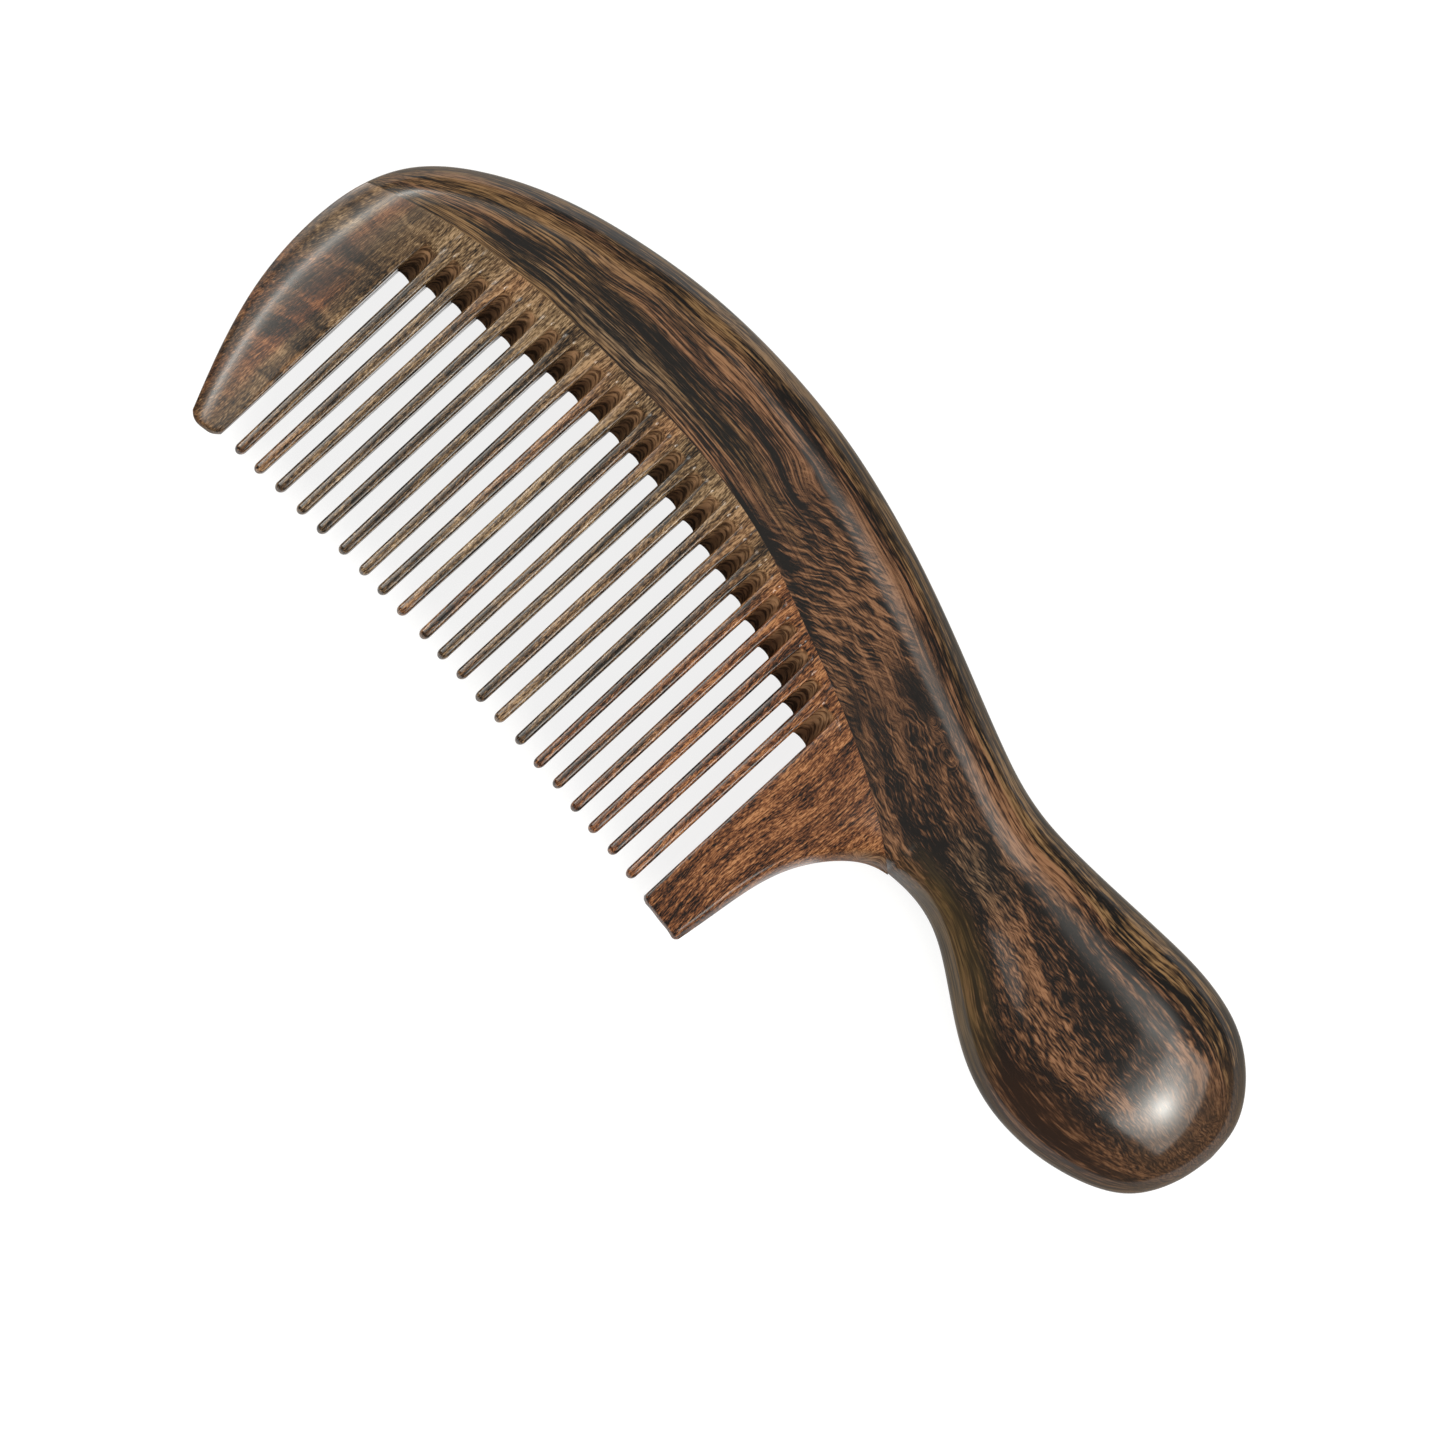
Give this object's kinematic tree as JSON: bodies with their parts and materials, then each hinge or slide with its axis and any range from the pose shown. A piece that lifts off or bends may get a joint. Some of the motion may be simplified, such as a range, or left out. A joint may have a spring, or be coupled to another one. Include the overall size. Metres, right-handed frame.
{
  "type": "wide tooth comb",
  "caption": "Wooden wide tooth comb: curved back and bulb handle in one piece, glued to tapered teeth between broad end guards, with a finger notch under the neck.",
  "frame": {"origin": "middle of the comb's bounding box at its underside: the comb lies on its face, with the bulb on z = 0", "axes": "+X runs from the head end to the end of the bulb handle, +Y from the tooth tips to the back, +Z is the thickness, up"},
  "size_m": [0.185, 0.0672, 0.018],
  "materials": {
    "back_wood": "polished, waxed dark brown hardwood with near-black streaks along its length",
    "guard_wood": "polished, waxed brown hardwood with its grain along the teeth",
    "tooth_wood": "polished, waxed brown hardwood with its grain along the teeth"
  },
  "bodies": {
    "root": {"back_and_handle": "back_wood", "head_guard": "guard_wood", "heel_guard": "guard_wood", "tooth_01": "tooth_wood", "tooth_02": "tooth_wood", "tooth_03": "tooth_wood", "tooth_04": "tooth_wood", "tooth_05": "tooth_wood", "tooth_06": "tooth_wood", "tooth_07": "tooth_wood", "tooth_08": "tooth_wood", "tooth_09": "tooth_wood", "tooth_10": "tooth_wood", "tooth_11": "tooth_wood", "tooth_12": "tooth_wood", "tooth_13": "tooth_wood", "tooth_14": "tooth_wood", "tooth_15": "tooth_wood", "tooth_16": "tooth_wood", "tooth_17": "tooth_wood", "tooth_18": "tooth_wood", "tooth_19": "tooth_wood", "tooth_20": "tooth_wood", "tooth_21": "tooth_wood"}
  },
  "joints": []
}
